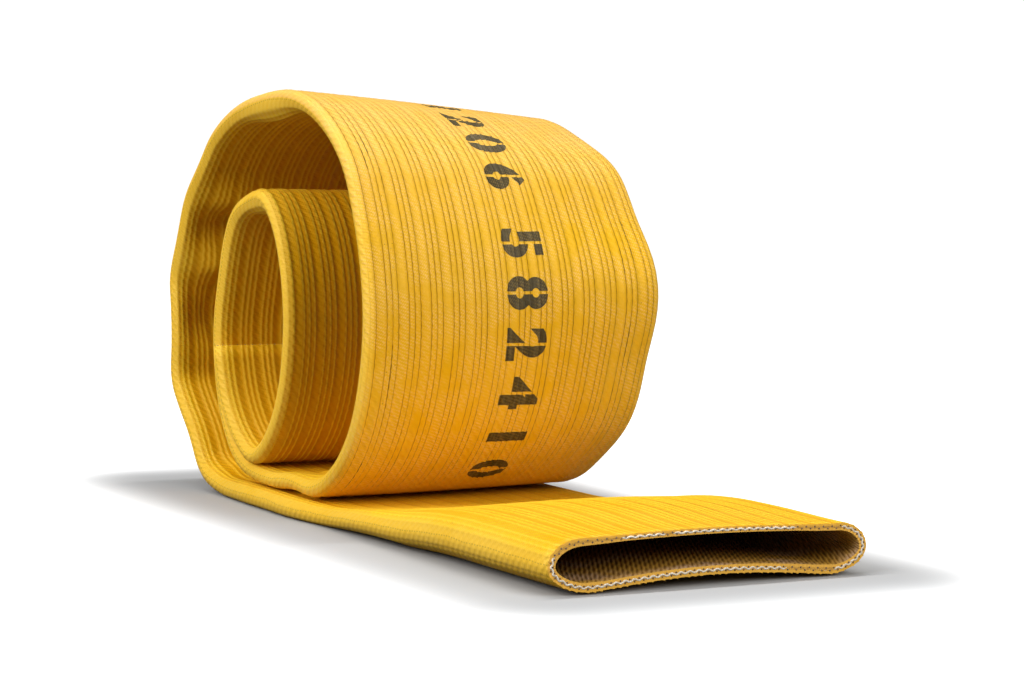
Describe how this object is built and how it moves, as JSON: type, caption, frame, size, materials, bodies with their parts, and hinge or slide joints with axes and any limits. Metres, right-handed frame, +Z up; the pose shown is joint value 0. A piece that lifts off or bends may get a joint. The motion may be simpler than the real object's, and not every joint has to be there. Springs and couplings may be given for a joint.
{
  "type": "rolled fire hose",
  "caption": "Short length of ribbed rubber lay-flat fire hose, loosely rolled and standing on its own tail, with its cut mouth open.",
  "frame": {"origin": "on the floor, below the middle of the bounding box", "axes": "+X along the tail towards the open mouth, +Y across the flat hose and along the roll's axis, +Z up"},
  "size_m": [0.283, 0.108, 0.1423],
  "materials": {
    "cover_rubber": "satin ribbed rubber",
    "weft_yarn": "off-white twisted polyester yarn",
    "warp_yarn": "grey-white polyester yarn",
    "lining_rubber": "matt rubber with the weave showing through"
  },
  "bodies": {
    "root": {"outer_cover": "cover_rubber", "jacket_weft": "weft_yarn", "jacket_warp": "warp_yarn", "inner_lining": "lining_rubber"}
  },
  "joints": []
}
